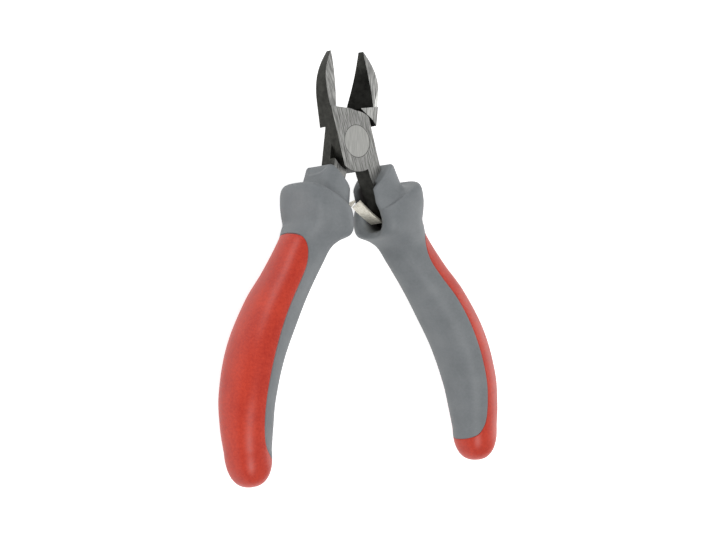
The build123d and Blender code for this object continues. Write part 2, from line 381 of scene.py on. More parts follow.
@dataclass(frozen=True)
class Finish:
    """What every finish shares: a name and how its material is built."""

    name: str

    def inputs(self, graph: Graph) -> Inputs:
        """What the shader's inputs are linked or set to."""
        raise NotImplementedError

    def build(self) -> Material:
        """The material: a Principled shader with this finish's inputs.

        Returns:
            The finished material.
        """
        material = bpy.data.materials.new(self.name)
        material.use_nodes = True
        tree = material.node_tree
        graph = Graph(tree)
        graph.fill(tree.nodes["Principled BSDF"], self.inputs(graph))
        return material


@dataclass(frozen=True)
class MouldedFinish(Finish):
    """A moulded plastic: body colour with fine speckle, slow cloudiness and a fine grain.

    The tone is a weighted sum of fine and slow noise; painted shade darkens the recess. Cells are
    counted per metre.
    """

    dark: Colour
    light: Colour
    gloss: Range
    speckle: float
    grain_depth: float
    grain_cells: float = 3600.0
    speckle_cells: float = 1500.0
    cloud_cells: float = 160.0
    tone_ends: Range = (0.36, 0.64)
    gloss_ends: Range = (0.3, 0.7)
    # painted shade: the body colour runs to this near-black over these recess depths, standing in
    # for the shade inside the channel
    painted_shade_ends: Range = (0.1, 1.0)
    recess_painted_shade: Colour = (0.022, 0.019, 0.017)
    sheen: float = 0.0
    specular: float = 0.5

    def inputs(self, graph: Graph) -> Inputs:
        """The tone picks the body colour, painted shade darkens it in the recess and fine noise
        sets the gloss.

        Args:
            graph: the material's node tree.

        Returns:
            What the shader's inputs are linked or set to.
        """
        cloud = graph.noise(self.cloud_cells, detail=2.0)
        fine = graph.noise(self.speckle_cells, detail=4.0, rough=0.7)
        tone = graph.blend(fine, cloud, self.speckle)
        body = graph.ramp(tone, self.tone_ends, self.dark, self.light)
        # painted shade: the deeper a point lies in the channel, the more of the dark shade colour
        # is mixed in
        recess = graph.node("ShaderNodeAttribute", {}, attribute_name=RECESS).outputs["Fac"]
        share = graph.span(recess, self.painted_shade_ends)
        grain = graph.noise(self.grain_cells, detail=2.0)
        return {
            "Base Color": graph.mix(share, body, self.recess_painted_shade),
            "Roughness": graph.span(fine, self.gloss_ends, self.gloss),
            "Normal": graph.relief(grain, self.grain_depth),
            "Sheen Weight": self.sheen,
            "Specular IOR Level": self.specular,
        }


@dataclass(frozen=True)
class SteelFinish(Finish):
    """Forged steel: phosphated dark, with the flat front and back faces ground bright.

    The ground faces are those whose normal stands within a few degrees of the pivot axis, in
    front of the recessed lap beside the joint, and the jaw faces beyond the throat. Lengths are in
    millimetres, cells are counted per metre and a facing is the size of the normal's Z.
    """

    turn: float
    highlight_start: float
    highlight_blend: float = 2.5
    ground_dark: Colour = (0.05, 0.05, 0.047)
    ground_light: Colour = (0.54, 0.54, 0.52)
    # painted highlight: a lighter copy of the ground colour on the jaw facets past highlight_start,
    # standing in for the light they catch
    highlit_jaw_dark: Colour = (0.064, 0.064, 0.061)
    highlit_jaw_light: Colour = (0.685, 0.685, 0.66)
    dark_low: Colour = (0.015, 0.015, 0.013)
    dark_high: Colour = (0.050, 0.050, 0.044)
    # painted shade: a darker copy of the phosphate on the jaw bevels, chosen by how they face
    bevel_shade_low: Colour = (0.008, 0.008, 0.007)
    bevel_shade_high: Colour = (0.03, 0.03, 0.027)
    flat_facing: Range = (0.90, 0.93)
    bevel_facing: Range = (0.3, 0.35)
    lap_height: Range = (1.0, 1.2)
    throat_height: Range = (6.0, 6.5)
    bevel_height: Range = (7.0, 8.0)
    coarse_cells: Place = (3300.0, 190.0, 700.0)
    fine_cells: Place = (9000.0, 500.0, 2500.0)
    fine_turn: float = 2.0
    coarse_weight: float = 0.7
    streak_ends: Range = (0.34, 0.66)
    patina_cells: float = 650.0
    patina_ends: Range = (0.3, 0.72)
    roughness: Range = (0.5, 0.4)
    metallic: float = 0.9
    depth: float = 0.012

    @staticmethod
    def beyond(graph: Graph, value: Socket, height: Range) -> Socket:
        """Zero below and one above a range of heights given in millimetres."""
        return graph.span(value, (height[0] * MM, height[1] * MM))

    def shares(self, graph: Graph) -> tuple[Socket, Socket, Socket]:
        """One on the ground faces, one on the jaw bevels for painted shade and one on the jaw
        facets for a painted highlight.

        Args:
            graph: the material's node tree.

        Returns:
            The share of ground face, the share of painted bevel shade and the share of painted jaw
            highlight.
        """
        normal = graph.node("ShaderNodeNewGeometry", {}).outputs["True Normal"]
        facing = graph.calc(Step.SIZE, graph.parts(normal)["Z"])
        flat = graph.span(facing, self.flat_facing)
        place = graph.parts(graph.position())
        middle = -FRONT_FACE_HEIGHT * MM
        off_lap = graph.calc(Step.SIZE, graph.calc(Step.SUBTRACT, place["Z"], middle))
        proud = self.beyond(graph, off_lap, self.lap_height)
        jaw = self.beyond(graph, place["Y"], self.throat_height)
        ground = graph.calc(Step.MULTIPLY, flat, graph.calc(Step.GREATER, proud, jaw))
        steep = graph.calc(Step.SUBTRACT, 1.0, flat)
        leaning = graph.calc(Step.MULTIPLY, graph.span(facing, self.bevel_facing), steep)
        past_heel = self.beyond(graph, place["Y"], self.bevel_height)
        highlight_height = (self.highlight_start, self.highlight_start + self.highlight_blend)
        highlit_facet = self.beyond(graph, place["Y"], highlight_height)
        return ground, graph.calc(Step.MULTIPLY, leaning, past_heel), highlit_facet

    def inputs(self, graph: Graph) -> Inputs:
        """Streaks on the ground faces, patina elsewhere, with grooves and pits in relief.

        Args:
            graph: the material's node tree.

        Returns:
            What the shader's inputs are linked or set to.
        """
        share, shaded_bevel, highlit_jaw_share = self.shares(graph)
        coarse = graph.noise(self.coarse_cells, self.turn, rough=0.6)
        fine = graph.noise(self.fine_cells, self.turn + self.fine_turn, detail=2.0)
        streak = graph.blend(coarse, fine, self.coarse_weight)
        plate = graph.ramp(streak, self.streak_ends, self.ground_dark, self.ground_light)
        highlit_facet = graph.ramp(streak, self.streak_ends, self.highlit_jaw_dark, self.highlit_jaw_light)
        patina = graph.noise(self.patina_cells, detail=5.0, rough=0.65)
        dark = graph.ramp(patina, self.patina_ends, self.dark_low, self.dark_high)
        bevel_shade = graph.ramp(patina, self.patina_ends, self.bevel_shade_low, self.bevel_shade_high)
        # the bevels take the painted shade and the jaw facets the painted highlight
        forged, ground = graph.mix(shaded_bevel, dark, bevel_shade), graph.mix(highlit_jaw_share, plate, highlit_facet)
        grooves = graph.calc(Step.MULTIPLY, share, streak)
        pits = graph.calc(Step.MULTIPLY, graph.calc(Step.SUBTRACT, 1.0, share), patina)
        return {
            "Base Color": graph.mix(share, forged, ground),
            "Roughness": graph.span(share, (0.0, 1.0), self.roughness),
            "Metallic": self.metallic,
            "Normal": graph.relief(graph.calc(Step.ADD, grooves, pits), self.depth * MM),
        }


@dataclass(frozen=True)
class RivetFinish(Finish):
    """Ground rivet head: finer and brighter than the plate, with a dark line round its rim.

    Lengths are in millimetres and cells are counted per metre.
    """

    radius: float = 4.2
    rim_inset: Range = (0.16, 0.05)
    face_dark: Colour = (0.31, 0.31, 0.297)
    face_light: Colour = (0.54, 0.54, 0.515)
    rim_colour: Colour = (0.07, 0.07, 0.066)
    streak_cells: Place = (5200.0, 260.0, 700.0)
    streak_turn: float = 3.0
    streak_ends: Range = (0.3, 0.7)
    roughness: float = 0.38
    metallic: float = 0.9
    depth: float = 0.006

    def inputs(self, graph: Graph) -> Inputs:
        """The rim's line starts at sqrt(x^2 + y^2) = radius - inset, over fine streaks.

        Args:
            graph: the material's node tree.

        Returns:
            What the shader's inputs are linked or set to.
        """
        fine = graph.noise(self.streak_cells, self.streak_turn, rough=0.6)
        face = graph.ramp(fine, self.streak_ends, self.face_dark, self.face_light)
        place = graph.parts(graph.position())
        squares = [graph.calc(Step.POWER, place[axis], 2.0) for axis in ("X", "Y")]
        reach = graph.calc(Step.ROOT, graph.calc(Step.ADD, *squares))
        start, full = (self.radius - inset for inset in self.rim_inset)
        rim = graph.span(reach, (start * MM, full * MM))
        return {
            "Base Color": graph.mix(rim, face, self.rim_colour),
            "Roughness": self.roughness,
            "Metallic": self.metallic,
            "Normal": graph.relief(fine, self.depth * MM),
        }


@dataclass(frozen=True)
class NickelFinish(Finish):
    """Nickel-plated spring steel, warm and slightly mottled. Cells are counted per metre."""

    dark: Colour = (0.54, 0.51, 0.43)
    light: Colour = (0.84, 0.81, 0.71)
    mottle_cells: float = 1500.0
    tone_ends: Range = (0.32, 0.68)
    gloss_ends: Range = (0.3, 0.7)
    gloss: Range = (0.45, 0.34)
    metallic: float = 0.6
    depth: float = 0.01

    def inputs(self, graph: Graph) -> Inputs:
        """One mottle sets the colour, the gloss and the relief.

        Args:
            graph: the material's node tree.

        Returns:
            What the shader's inputs are linked or set to.
        """
        mottle = graph.noise(self.mottle_cells, detail=4.0, rough=0.65)
        return {
            "Base Color": graph.ramp(mottle, self.tone_ends, self.dark, self.light),
            "Roughness": graph.span(mottle, self.gloss_ends, self.gloss),
            "Metallic": self.metallic,
            "Normal": graph.relief(mottle, self.depth * MM),
        }


@dataclass(frozen=True)
class FloorFinish(Finish):
    """A matt pale floor that shows as white and throws no light on the tool."""

    shade: float = 0.8
    glow: float = 0.8

    def inputs(self, graph: Graph) -> Inputs:
        """A matt shade that glows for whatever sees the background.

        Args:
            graph: the material's node tree.

        Returns:
            What the shader's inputs are linked or set to.
        """
        return {
            "Base Color": (self.shade,) * 3,
            "Roughness": 1.0,
            "Specular IOR Level": 0.0,
            "Emission Color": WHITE,
            "Emission Strength": graph.calc(Step.MULTIPLY, graph.background_share(), self.glow),
        }


@dataclass
class HandleForm:
    """The outer form of one grip in the closed layout, as a surface of station and turn.

    A row of the table is: station down from the pivot, distance out, half width, half depth,
    lean of the width in degrees, squareness and rise. The seam's points are x and y in plan.
    """

    rows: tuple[tuple[float, ...], ...] = (
        (15.85, 8.35, 8.4, 8.60, 19.5, 3.0, 0.6),
        (20.4, 7.56, 7.70, 8.70, 15.5, 4.4, 0.6),
        (23.2, 7.40, 7.40, 8.35, 14.5, 3.9, 0.5),
        (25.0, 8.48, 6.14, 7.75, 16.0, 3.15, 0.4),
        (27.0, 9.91, 5.81, 6.70, 19.5, 2.8, 0.3),
        (30.4, 11.08, 6.06, 5.90, 24.0, 2.4, 0.1),
        (39.3, 15.0, 6.0, 6.55, 25.5, 2.3, 0.0),
        (46.8, 18.4, 6.4, 7.45, 20.5, 2.3, 0.0),
        (58.1, 22.0, 6.5, 7.85, 11.0, 2.3, 0.0),
        (69.4, 23.1, 6.35, 7.35, 0.5, 2.3, 0.0),
        (77.0, 22.25, 6.1, 6.45, -9.0, 2.3, 0.0),
        (82.3, 21.2, 5.55, 5.80, -12.5, 2.3, 0.0),
    )
    end: float = 90.8
    end_out: float = 19.0
    end_lean: float = -15.0
    dome_squareness: float = 2.4
    mid_drop: float = 0.8
    soften: float = 0.3
    pitch: float = 0.05
    block: int = 4096
    seam_steps: int = 60
    least_step: float = 1e-5
    seam_points: tuple[Range, ...] = (
        (18.6, -25.8), (16.2, -26.75), (14.8, -27.7), (13.65, -29.4),
        (13.2, -31.6), (13.4, -34.4), (14.5, -37.6), (16.8, -42.0),
        (18.75, -46.8), (20.95, -54.3), (22.3, -62.8), (22.45, -71.4),
        (20.9, -79.1), (18.6, -82.5), (15.6, -83.8), (8.5, -84.2),
    )
    stations: np.ndarray = field(init=False)
    table: np.ndarray = field(init=False)
    seam_station: np.ndarray = field(init=False)
    seam_turn: np.ndarray = field(init=False)

    def __post_init__(self) -> None:
        """Works out the dense table of section values and the seam on the surface."""
        self.stations = np.arange(self.rows[0][0], self.end + self.pitch / 2, self.pitch)
        self.table = self.dense_table()
        self.seam_station, self.seam_turn = self.seam_on_surface()

    @property
    def top(self) -> float:
        """Station of the guard's rim."""
        return self.rows[0][0]

    @property
    def dome_start(self) -> float:
        """Station where the rounded end starts."""
        return self.rows[-1][0]

    def dense_table(self) -> np.ndarray:
        """Section values at close stations.

        Each value runs between rows on a cubic whose end slopes are those between the
        neighbouring rows, goes straight through the dome, and is softened by a bell curve.

        Returns:
            One row a station: out, half width, half depth, lean, squareness, rise.
        """
        rows = np.array(self.rows)
        knots, values = rows[:, 0], rows[:, 1:]
        slopes = np.gradient(values, knots, axis=0)
        slopes[1:-1] = (values[2:] - values[:-2]) / (knots[2:] - knots[:-2])[:, None]
        index = np.clip(np.searchsorted(knots, self.stations, side="right") - 1, 0, len(knots) - 2)
        gap = (knots[index + 1] - knots[index])[:, None]
        t = np.clip((self.stations - knots[index])[:, None] / gap, 0.0, 1.0)
        before, after = 2 * t ** 3 - 3 * t ** 2 + 1, 3 * t ** 2 - 2 * t ** 3
        leave, arrive = t ** 3 - 2 * t ** 2 + t, t ** 3 - t ** 2
        made = (values[index] * before + values[index + 1] * after
                + gap * (slopes[index] * leave + slopes[index + 1] * arrive))
        share = np.clip((self.stations - self.dome_start) / (self.end - self.dome_start), 0.0, 1.0)
        made[:, 0] += (self.end_out - values[-1, 0]) * share
        made[:, 3] += (self.end_lean - values[-1, 3]) * share
        reach = int(3 * self.soften / self.pitch)
        weight = np.exp(-0.5 * (np.arange(-reach, reach + 1) * self.pitch / self.soften) ** 2)
        weight /= weight.sum()
        slope_in = (made[1] - made[0]) * np.arange(-reach, 0)[:, None]
        slope_out = (made[-1] - made[-2]) * np.arange(1, reach + 1)[:, None]
        padded = np.vstack([made[0] + slope_in, made, made[-1] + slope_out])
        return np.stack([np.convolve(column, weight, mode="valid") for column in padded.T], axis=1)

    def values(self, station: np.ndarray) -> np.ndarray:
        """Section values at any stations, the last axis holding the six values."""
        flat = [np.interp(station, self.stations, column) for column in self.table.T]
        return np.stack(flat, axis=-1)

    def shrink(self, station: np.ndarray) -> np.ndarray:
        """Share of the full section left at a station: (1 - s^n)^(1/n) through the dome."""
        share = np.clip((station - self.dome_start) / (self.end - self.dome_start), 0.0, 1.0)
        return (1.0 - share ** self.dome_squareness) ** (1.0 / self.dome_squareness)

    def point(self, station: np.ndarray, turn: np.ndarray,
              inset: float | np.ndarray = 0.0) -> np.ndarray:
        """Places on the surface.

        The section is a superellipse, polar radius by turn, leaning in plan about its middle.

        Args:
            station: distance down from the pivot.
            turn: polar angle from the outer side through the front.
            inset: how far inside the surface.

        Returns:
            Places in millimetres, the last axis holding x, y and z.
        """
        values = np.moveaxis(self.values(station), -1, 0)
        out, half_width, half_depth, lean, squareness, rise = values
        shrink = self.shrink(station)
        radius = superellipse_radius(turn, half_width, half_depth, squareness) * shrink - inset
        across, deep = radius * np.cos(turn), radius * np.sin(turn)
        angle = np.radians(lean)
        return np.stack([
            out + across * np.cos(angle),
            -station + across * np.sin(angle),
            deep + rise - self.mid_drop,
        ], axis=-1)

    def seam_on_surface(self) -> tuple[np.ndarray, np.ndarray]:
        """The parting line as station and turn, from its curve in plan.

        A plan point lies on the section whose line passes through it: station minus
        (x - out) tan(lean) equals minus y. Its turn follows from its place across the section.

        Returns:
            Stations and turns along the front of the seam, from the outer to the inner side.
        """
        line = smooth_curve(np.array(self.seam_points), self.seam_steps)
        values = self.values(self.stations)
        out, lean = values[:, 0], np.radians(values[:, 3])
        miss = self.stations[None, :] - (line[:, :1] - out) * np.tan(lean) + line[:, 1:]
        station = np.array([np.interp(0.0, row, self.stations) for row in miss])
        found = self.values(station)
        across = (line[:, 0] - found[:, 0]) / np.cos(np.radians(found[:, 3]))
        full = found[:, 1] * self.shrink(station)
        share = np.clip(across / full, -1.0, 1.0)
        half_depth, squareness = found[:, 2] * self.shrink(station), found[:, 4]
        deep = half_depth * (1.0 - np.abs(share) ** squareness) ** (1.0 / squareness)
        turn = np.arctan2(deep, share * full)
        inside = np.abs(across) < full
        first, last = np.argmax(inside), len(inside) - 1 - np.argmax(inside[::-1])
        station, turn = station[first:last + 1], turn[first:last + 1]
        turn[0], turn[-1] = 0.0, np.pi
        station = np.maximum.accumulate(station + self.least_step * np.arange(len(station)))
        return station, np.maximum.accumulate(turn)

    def seam_width(self, station: np.ndarray) -> np.ndarray:
        """Turn of the front seam: 0 above its start and a half turn below its end."""
        return np.interp(station, self.seam_station, self.seam_turn, left=0.0, right=np.pi)

    def seam_distance(self, points: np.ndarray) -> np.ndarray:
        """Distance of places from the seam, front and back.

        Args:
            points: places in millimetres, one a row.

        Returns:
            The distance of each.
        """
        fine = np.linspace(0.0, len(self.seam_turn) - 1.0, 2 * len(self.seam_turn))
        steps = np.arange(len(self.seam_turn))
        station = np.interp(fine, steps, self.seam_station)
        turn = np.interp(fine, steps, self.seam_turn)
        front = self.point(station, turn)
        line = np.vstack([front, self.point(station, -turn)[::-1]])
        result = np.empty(len(points))
        for start in range(0, len(points), self.block):
            some = points[start:start + self.block]
            apart = ((some[:, None, :] - line[None, :, :]) ** 2).sum(-1)
            near = np.clip(apart.argmin(1), 1, len(line) - 2)
            best = np.full(len(some), np.inf)
            for a, b in ((line[near - 1], line[near]), (line[near], line[near + 1])):
                along = b - a
                share = ((some - a) * along).sum(1) / np.maximum((along ** 2).sum(1), TINY ** 2)
                foot = a + np.clip(share, 0.0, 1.0)[:, None] * along
                best = np.minimum(best, np.linalg.norm(some - foot, axis=1))
            result[start:start + self.block] = best
        return result


@dataclass
class Grip:
    """One two-material grip: the soft grey sleeve and the hard red core."""

    side: Side
    form: HandleForm
    sleeve_finish: Material
    core_finish: Material
    neck_middle: float = 5.0
    neck_half_width: float = 5.8
    neck_half_depth: float = 5.6
    neck_squareness: float = 2.3
    neck_inner: float = 0.3
    neck_outer: float = 10.6
    neck_rise: float = -0.2
    neck_top: float = 7.8
    neck_top_inner: float = 7.3
    neck_top_outer: float = 8.3
    neck_slant_down: float = 13.3
    neck_shoulder_down: float = 12.8
    neck_round: float = 0.9
    neck_flare: float = 1.1
    neck_corner: int = 12
    ridge_round: float = 0.22
    fillet: float = 2.2
    fillet_share: float = 0.7
    top_share: float = 0.45
    rim_round: float = 2.9
    rim_round_inner: float = 1.3
    lip: float = 0.2
    lip_depth: float = 0.22
    channel_half_width: float = 3.6
    channel_end: float = 24.0
    channel_corner: float = 2.8
    channel_edge: float = 0.5
    recess_depth: float = 2.2
    dish_middle: float = -20.6
    dish_half: Range = (5.6, 5.2)
    dish_floor: float = 1.6
    dish_start: float = 1.1
    dish_draft: float = 0.5
    tang_down: tuple[float, ...] = (5.0, 9.5, 16.0, 21.0, 24.5, 36.5)
    tang_reach: tuple[float, ...] = (1.45, 1.65, 2.75, 4.0, 6.0, 13.15)
    floor_inset: float = 0.9
    usual_radius: float = 6.0
    columns: int = 180
    column_samples: int = 2001
    seam_crowd: float = 4.0
    seam_margin: float = 1.5
    channel_crowd: tuple[float, float, float] = (2.2, 0.165, 0.075)
    seam_columns: tuple[float, ...] = (0.0, 0.05, 0.1, 0.15, 0.22, 0.34, 0.55)
    seam_rows: tuple[float, ...] = (0.05, 0.1, 0.15, 0.22, 0.34, 0.55, 0.8)
    seam_bend: float = 0.004
    closest_rows: float = 0.012
    guard_end: float = 28.0
    guard_pitch: float = 0.22
    sleeve_pitch: float = 0.55
    core_pitch: float = 0.5
    dome_pitch: float = 0.3
    dome_rows: int = 60
    end_rows: int = 14
    edge_rows: int = 8
    wall_rows: int = 34
    fillet_rows: int = 9
    top_rows: int = 8
    rim_rows: int = 10
    row_gap: float = 1e-4
    weld: float = 2e-7

    def build(self) -> list[Object]:
        """Makes both mouldings.

        Returns:
            The sleeve and the core.
        """
        sleeve = self.sleeve()
        core = self.core()
        pieces = ((sleeve, "grip_sleeve", "grey_sleeve"), (core, "grip_core", "red_core"))
        for piece, node, slot in pieces:
            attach(piece, self.side.body)
            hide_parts(f"{node}_{self.side.word}")
            LOG.info("%s: %d faces", piece.name, len(piece.data.polygons))
        return [sleeve, core]

    def place(self, points: np.ndarray) -> np.ndarray:
        """Carries places of the closed layout to the row frame in metres.

        The form is shifted level with its own tang, turned open about the pivot, and for the
        left handle mirrored across the tool's centre line.

        Args:
            points: places in millimetres, the last axis holding x, y and z.

        Returns:
            Places in metres, one a row.
        """
        turn = math.radians(OPEN_HALF_ANGLE)
        x = points[..., 0] * math.cos(turn) - points[..., 1] * math.sin(turn)
        y = points[..., 0] * math.sin(turn) + points[..., 1] * math.cos(turn)
        z = points[..., 2] + self.side.value * TANG_SHIFT - FRONT_FACE_HEIGHT
        return (np.stack([self.side.value * x, y, z], axis=-1) * MM).reshape(-1, 3)

    def turns(self, middle: float, half: np.ndarray, inner: np.ndarray) -> np.ndarray:
        """Turn of every column in every row, close together beside the seam.

        The inner columns keep their turn down the whole handle and stop where the seam meets
        them, so that no row is spread out anew where the seam swings across.

        Args:
            middle: turn at the middle of the moulding.
            half: half the turn that the moulding covers, one a row.
            inner: places of the inner columns, from -1 to 1.

        Returns:
            Turns, rows by columns.
        """
        beside = np.array(self.seam_columns) / self.usual_radius
        squeeze = np.minimum(1.0, half / (self.seam_crowd * beside[-1]))[:, None]
        edge = half[:, None] - beside[None, :] * squeeze
        limit = half[:, None] - self.seam_margin * beside[-1] * squeeze
        body = np.clip(inner[None, :] * np.pi, -limit, limit)
        return middle + np.hstack([-edge, body, edge[:, ::-1]])

    def inner_columns(self, crowd: float, around: float, width: float) -> np.ndarray:
        """Columns from -1 to 1 whose spacing narrows beside two places.

        Args:
            crowd: how many times closer the columns lie there.
            around: distance of the two places from the middle.
            width: how wide each crowded stretch is.

        Returns:
            The places of the columns.
        """
        fine = np.linspace(-1.0, 1.0, self.column_samples)
        density = 1.0 + crowd * np.exp(-(((np.abs(fine) - around) / width) ** 2))
        total = np.concatenate([[0.0], np.cumsum((density[1:] + density[:-1]) / 2)])
        return np.interp(np.linspace(0.0, total[-1], self.columns), total, fine)

    def neck_radius(self, turn: np.ndarray) -> np.ndarray:
        """Polar radius of the neck: a superellipse cut softly by two flat sides.

        The soft least of two radii a and b is (a^-n + b^-n)^(-1/n).

        Args:
            turn: turn of each column.

        Returns:
            The radius at each turn.
        """
        width, depth = self.neck_half_width, self.neck_half_depth
        round_part = superellipse_radius(turn, width, depth, self.neck_squareness)
        inner = self.neck_middle - self.neck_inner
        outer = self.neck_outer - self.neck_middle
        reach = np.where(np.cos(turn) < 0.0, inner, outer)
        flat_part = reach / np.maximum(np.abs(np.cos(turn)), TINY)
        power = self.neck_corner
        return (round_part ** -power + flat_part ** -power) ** (-1 / power)

    def neck_height(self, x: np.ndarray) -> np.ndarray:
        """Y of the neck's end face: the soft least of its inner slant, ridge and outer slant.

        The soft least of some heights is -r times the log of the sum of exp(-height / r).

        Args:
            x: distance out of each point.

        Returns:
            The height at each point.
        """
        inner_run = self.neck_top_inner - self.neck_inner
        outer_run = self.neck_outer - self.neck_top_outer
        inner_slope = (self.neck_slant_down - self.neck_top) / inner_run
        outer_slope = (self.neck_shoulder_down - self.neck_top) / outer_run
        planes = np.stack([
            -self.neck_top - (self.neck_top_inner - x) * inner_slope,
            np.full_like(x, -self.neck_top),
            -self.neck_top - (x - self.neck_top_outer) * outer_slope,
        ])
        return -self.ridge_round * np.log(np.exp(-planes / self.ridge_round).sum(0))

    def neck_rows(self, turn: np.ndarray) -> np.ndarray:
        """Rows from the middle of the neck's end face to just below the guard's rim.

        The end face is scaled rings under the slanted height. Its edge is a quarter round. The
        wall drops to the guard's top plane, meets it in a fillet and runs out to the rim, which
        is rounded into the side. Both curves are arcs of the second degree.

        Args:
            turn: turn of each column.

        Returns:
            Places, rows by columns.
        """
        radius = self.neck_radius(turn)
        heading = np.stack([np.cos(turn), np.sin(turn)], axis=-1)

        def ring(reach: np.ndarray, y: np.ndarray) -> np.ndarray:
            """Points at a polar reach and a height."""
            x = self.neck_middle + reach * heading[:, 0]
            return np.stack([x, y, self.neck_rise + reach * heading[:, 1]], axis=-1)

        inset = radius - self.neck_round
        edge_height = self.neck_height(self.neck_middle + inset * heading[:, 0])
        rows = [
            ring(share * inset, self.neck_height(self.neck_middle + share * inset * heading[:, 0]))
            for share in np.linspace(0.0, 1.0, self.end_rows)
        ]
        rows += [
            ring(inset + self.neck_round * math.sin(a),
                 edge_height - self.neck_round * (1 - math.cos(a)))
            for a in np.linspace(0.0, math.pi / 2, self.edge_rows)[1:]
        ]
        wall_top = rows[-1]
        rim = self.form.point(np.full_like(turn, self.form.top), turn)
        middle_out, _, _, lean, _, _ = self.form.values(np.array(self.form.top))
        slope = math.tan(math.radians(float(lean)))
        outward = 0.5 + 0.5 * np.cos(turn)
        foot = wall_top.copy()
        foot[:, [0, 2]] += (self.neck_flare * outward)[:, None] * heading
        foot[:, 1] = -self.form.top + (foot[:, 0] - middle_out) * slope
        run = rim - foot
        length = np.linalg.norm(run, axis=1, keepdims=True)
        heading_out = run / np.maximum(length, TINY)
        wall = wall_top - foot
        tall = np.linalg.norm(wall, axis=1, keepdims=True)
        wider = (self.rim_round - self.rim_round_inner) * outward ** 2
        rounding = (self.rim_round_inner + wider)[:, None]
        cut_wall = np.minimum(self.fillet, self.fillet_share * tall)
        cut_in = np.minimum(self.fillet, self.top_share * length)
        cut_out = np.minimum(rounding, self.top_share * length)
        above = foot + cut_wall * wall / np.maximum(tall, TINY)
        shares = np.linspace(0.0, 1.0, self.wall_rows)[1:]
        rows += [wall_top + (above - wall_top) * share for share in shares]
        after = foot + cut_in * heading_out
        before = rim - cut_out * heading_out
        below = self.form.point(self.form.top + rounding[:, 0], turn)
        lowest = self.form.top + self.rim_round

        def arc(a: np.ndarray, b: np.ndarray, c: np.ndarray, steps: int) -> list[np.ndarray]:
            """Rows from a to c that head for b: (1-t)^2 a + 2t(1-t) b + t^2 c."""
            between = np.linspace(0.0, 1.0, steps)[1:]
            return [(1 - t) ** 2 * a + 2 * t * (1 - t) * b + t * t * c for t in between]

        shares = np.linspace(0.0, 1.0, self.top_rows)[1:]
        rows += arc(above, foot, after, self.fillet_rows)
        rows += [after + (before - after) * share for share in shares]
        rows += arc(before, rim, below, self.rim_rows)
        for share in shares:
            station = self.form.top + rounding[:, 0] * (1.0 - share) + self.rim_round * share
            rows.append(self.form.point(np.minimum(station, lowest), turn))
        return np.stack(rows)

    def tang_inner(self, y: np.ndarray) -> np.ndarray:
        """Inner edge of the steel tang at a height, straight between the tang's stations."""
        return np.interp(-y, self.tang_down, self.tang_reach)

    def channel_share(self, y: np.ndarray, z: np.ndarray) -> np.ndarray:
        """One inside the channel's mouth, zero outside, soft across its edge.

        It follows the distance from a slot that is open at the top and has rounded lower
        corners: the usual distance of a box with rounded corners.

        Args:
            y: height of each point.
            z: depth of each point.

        Returns:
            The share at each point.
        """
        beside = np.abs(z - self.neck_rise) - (self.channel_half_width - self.channel_corner)
        below = (self.channel_corner - self.channel_end) - y
        outside = np.hypot(np.maximum(beside, 0.0), np.maximum(below, 0.0))
        distance = outside + np.minimum(np.maximum(beside, below), 0.0) - self.channel_corner
        return smooth_step(0.5 - distance / self.channel_edge)

    def open_channel(self, points: np.ndarray) -> tuple[np.ndarray, np.ndarray]:
        """Pushes the surface in along +X where the channel and its shallow dish are.

        The push is a soft share of the way to the channel's floor, which lies just inside the
        steel, after the same for the dish that eases the lower mouth.

        Args:
            points: places of the plain form.

        Returns:
            Places with the channel open, and the share from 0 to 1 by which each point lies in it.
        """
        x, y, z = np.moveaxis(points, -1, 0)
        along = (y - self.dish_middle) / self.dish_half[0]
        deep = (z - self.neck_rise) / self.dish_half[1]
        dish = smooth_step((self.dish_start - np.hypot(along, deep)) / self.dish_draft)
        dished = x + dish * np.maximum(self.dish_floor - x, 0.0)
        floor = self.tang_inner(y) + self.floor_inset
        share = self.channel_share(y, z)
        pushed = np.maximum(dished, share * floor + (1.0 - share) * dished)
        open_points = np.stack([np.where(x < floor, pushed, x), y, z], axis=-1)
        depth = np.where(x < floor, (pushed - dished) / self.recess_depth, 0.0)
        return open_points, np.clip(depth, 0.0, 1.0)

    def lipped(self, stations: np.ndarray, turn: np.ndarray) -> np.ndarray:
        """The surface, rolled in beside the seam by a quarter round of the seam distance.

        Args:
            stations: station of each row.
            turn: turn of every column in every row.

        Returns:
            Places, rows by columns.
        """
        station = np.broadcast_to(stations[:, None], turn.shape)
        plain = self.form.point(station, turn).reshape(-1, 3)
        share = 1.0 - np.clip(self.form.seam_distance(plain) / self.lip, 0.0, 1.0)
        inset = self.lip_depth * (1.0 - np.sqrt(1.0 - share ** 2))
        return self.form.point(station, turn, inset.reshape(turn.shape))

    def body_stations(self, start: float, end: float, pitch: float) -> np.ndarray:
        """Stations from start to end, crowded where the seam turns across the handle.

        Args:
            start: first station.
            end: last station.
            pitch: plain distance between rows.

        Returns:
            The stations.
        """
        plain = np.linspace(start, end, max(2, int(round((end - start) / pitch)) + 1))
        keep = np.abs(np.diff(self.form.seam_turn, prepend=-1.0)) > self.seam_bend
        bends = self.form.seam_station[keep]
        lips = np.array(self.seam_rows)
        tips = np.array([self.form.seam_station[0], self.form.seam_station[-1]])
        around = np.concatenate([-lips, lips])
        beside = np.concatenate([tips, (tips[:, None] + around[None, :]).ravel()])
        every = np.concatenate([plain, bends, beside])
        every = np.unique(np.round(every[(every >= start) & (every <= end)], 4))
        wanted = np.isin(every, np.round(np.concatenate([tips, [start, end]]), 4))
        keep = wanted | (np.diff(every, prepend=-1.0) > self.closest_rows)
        return every[keep]

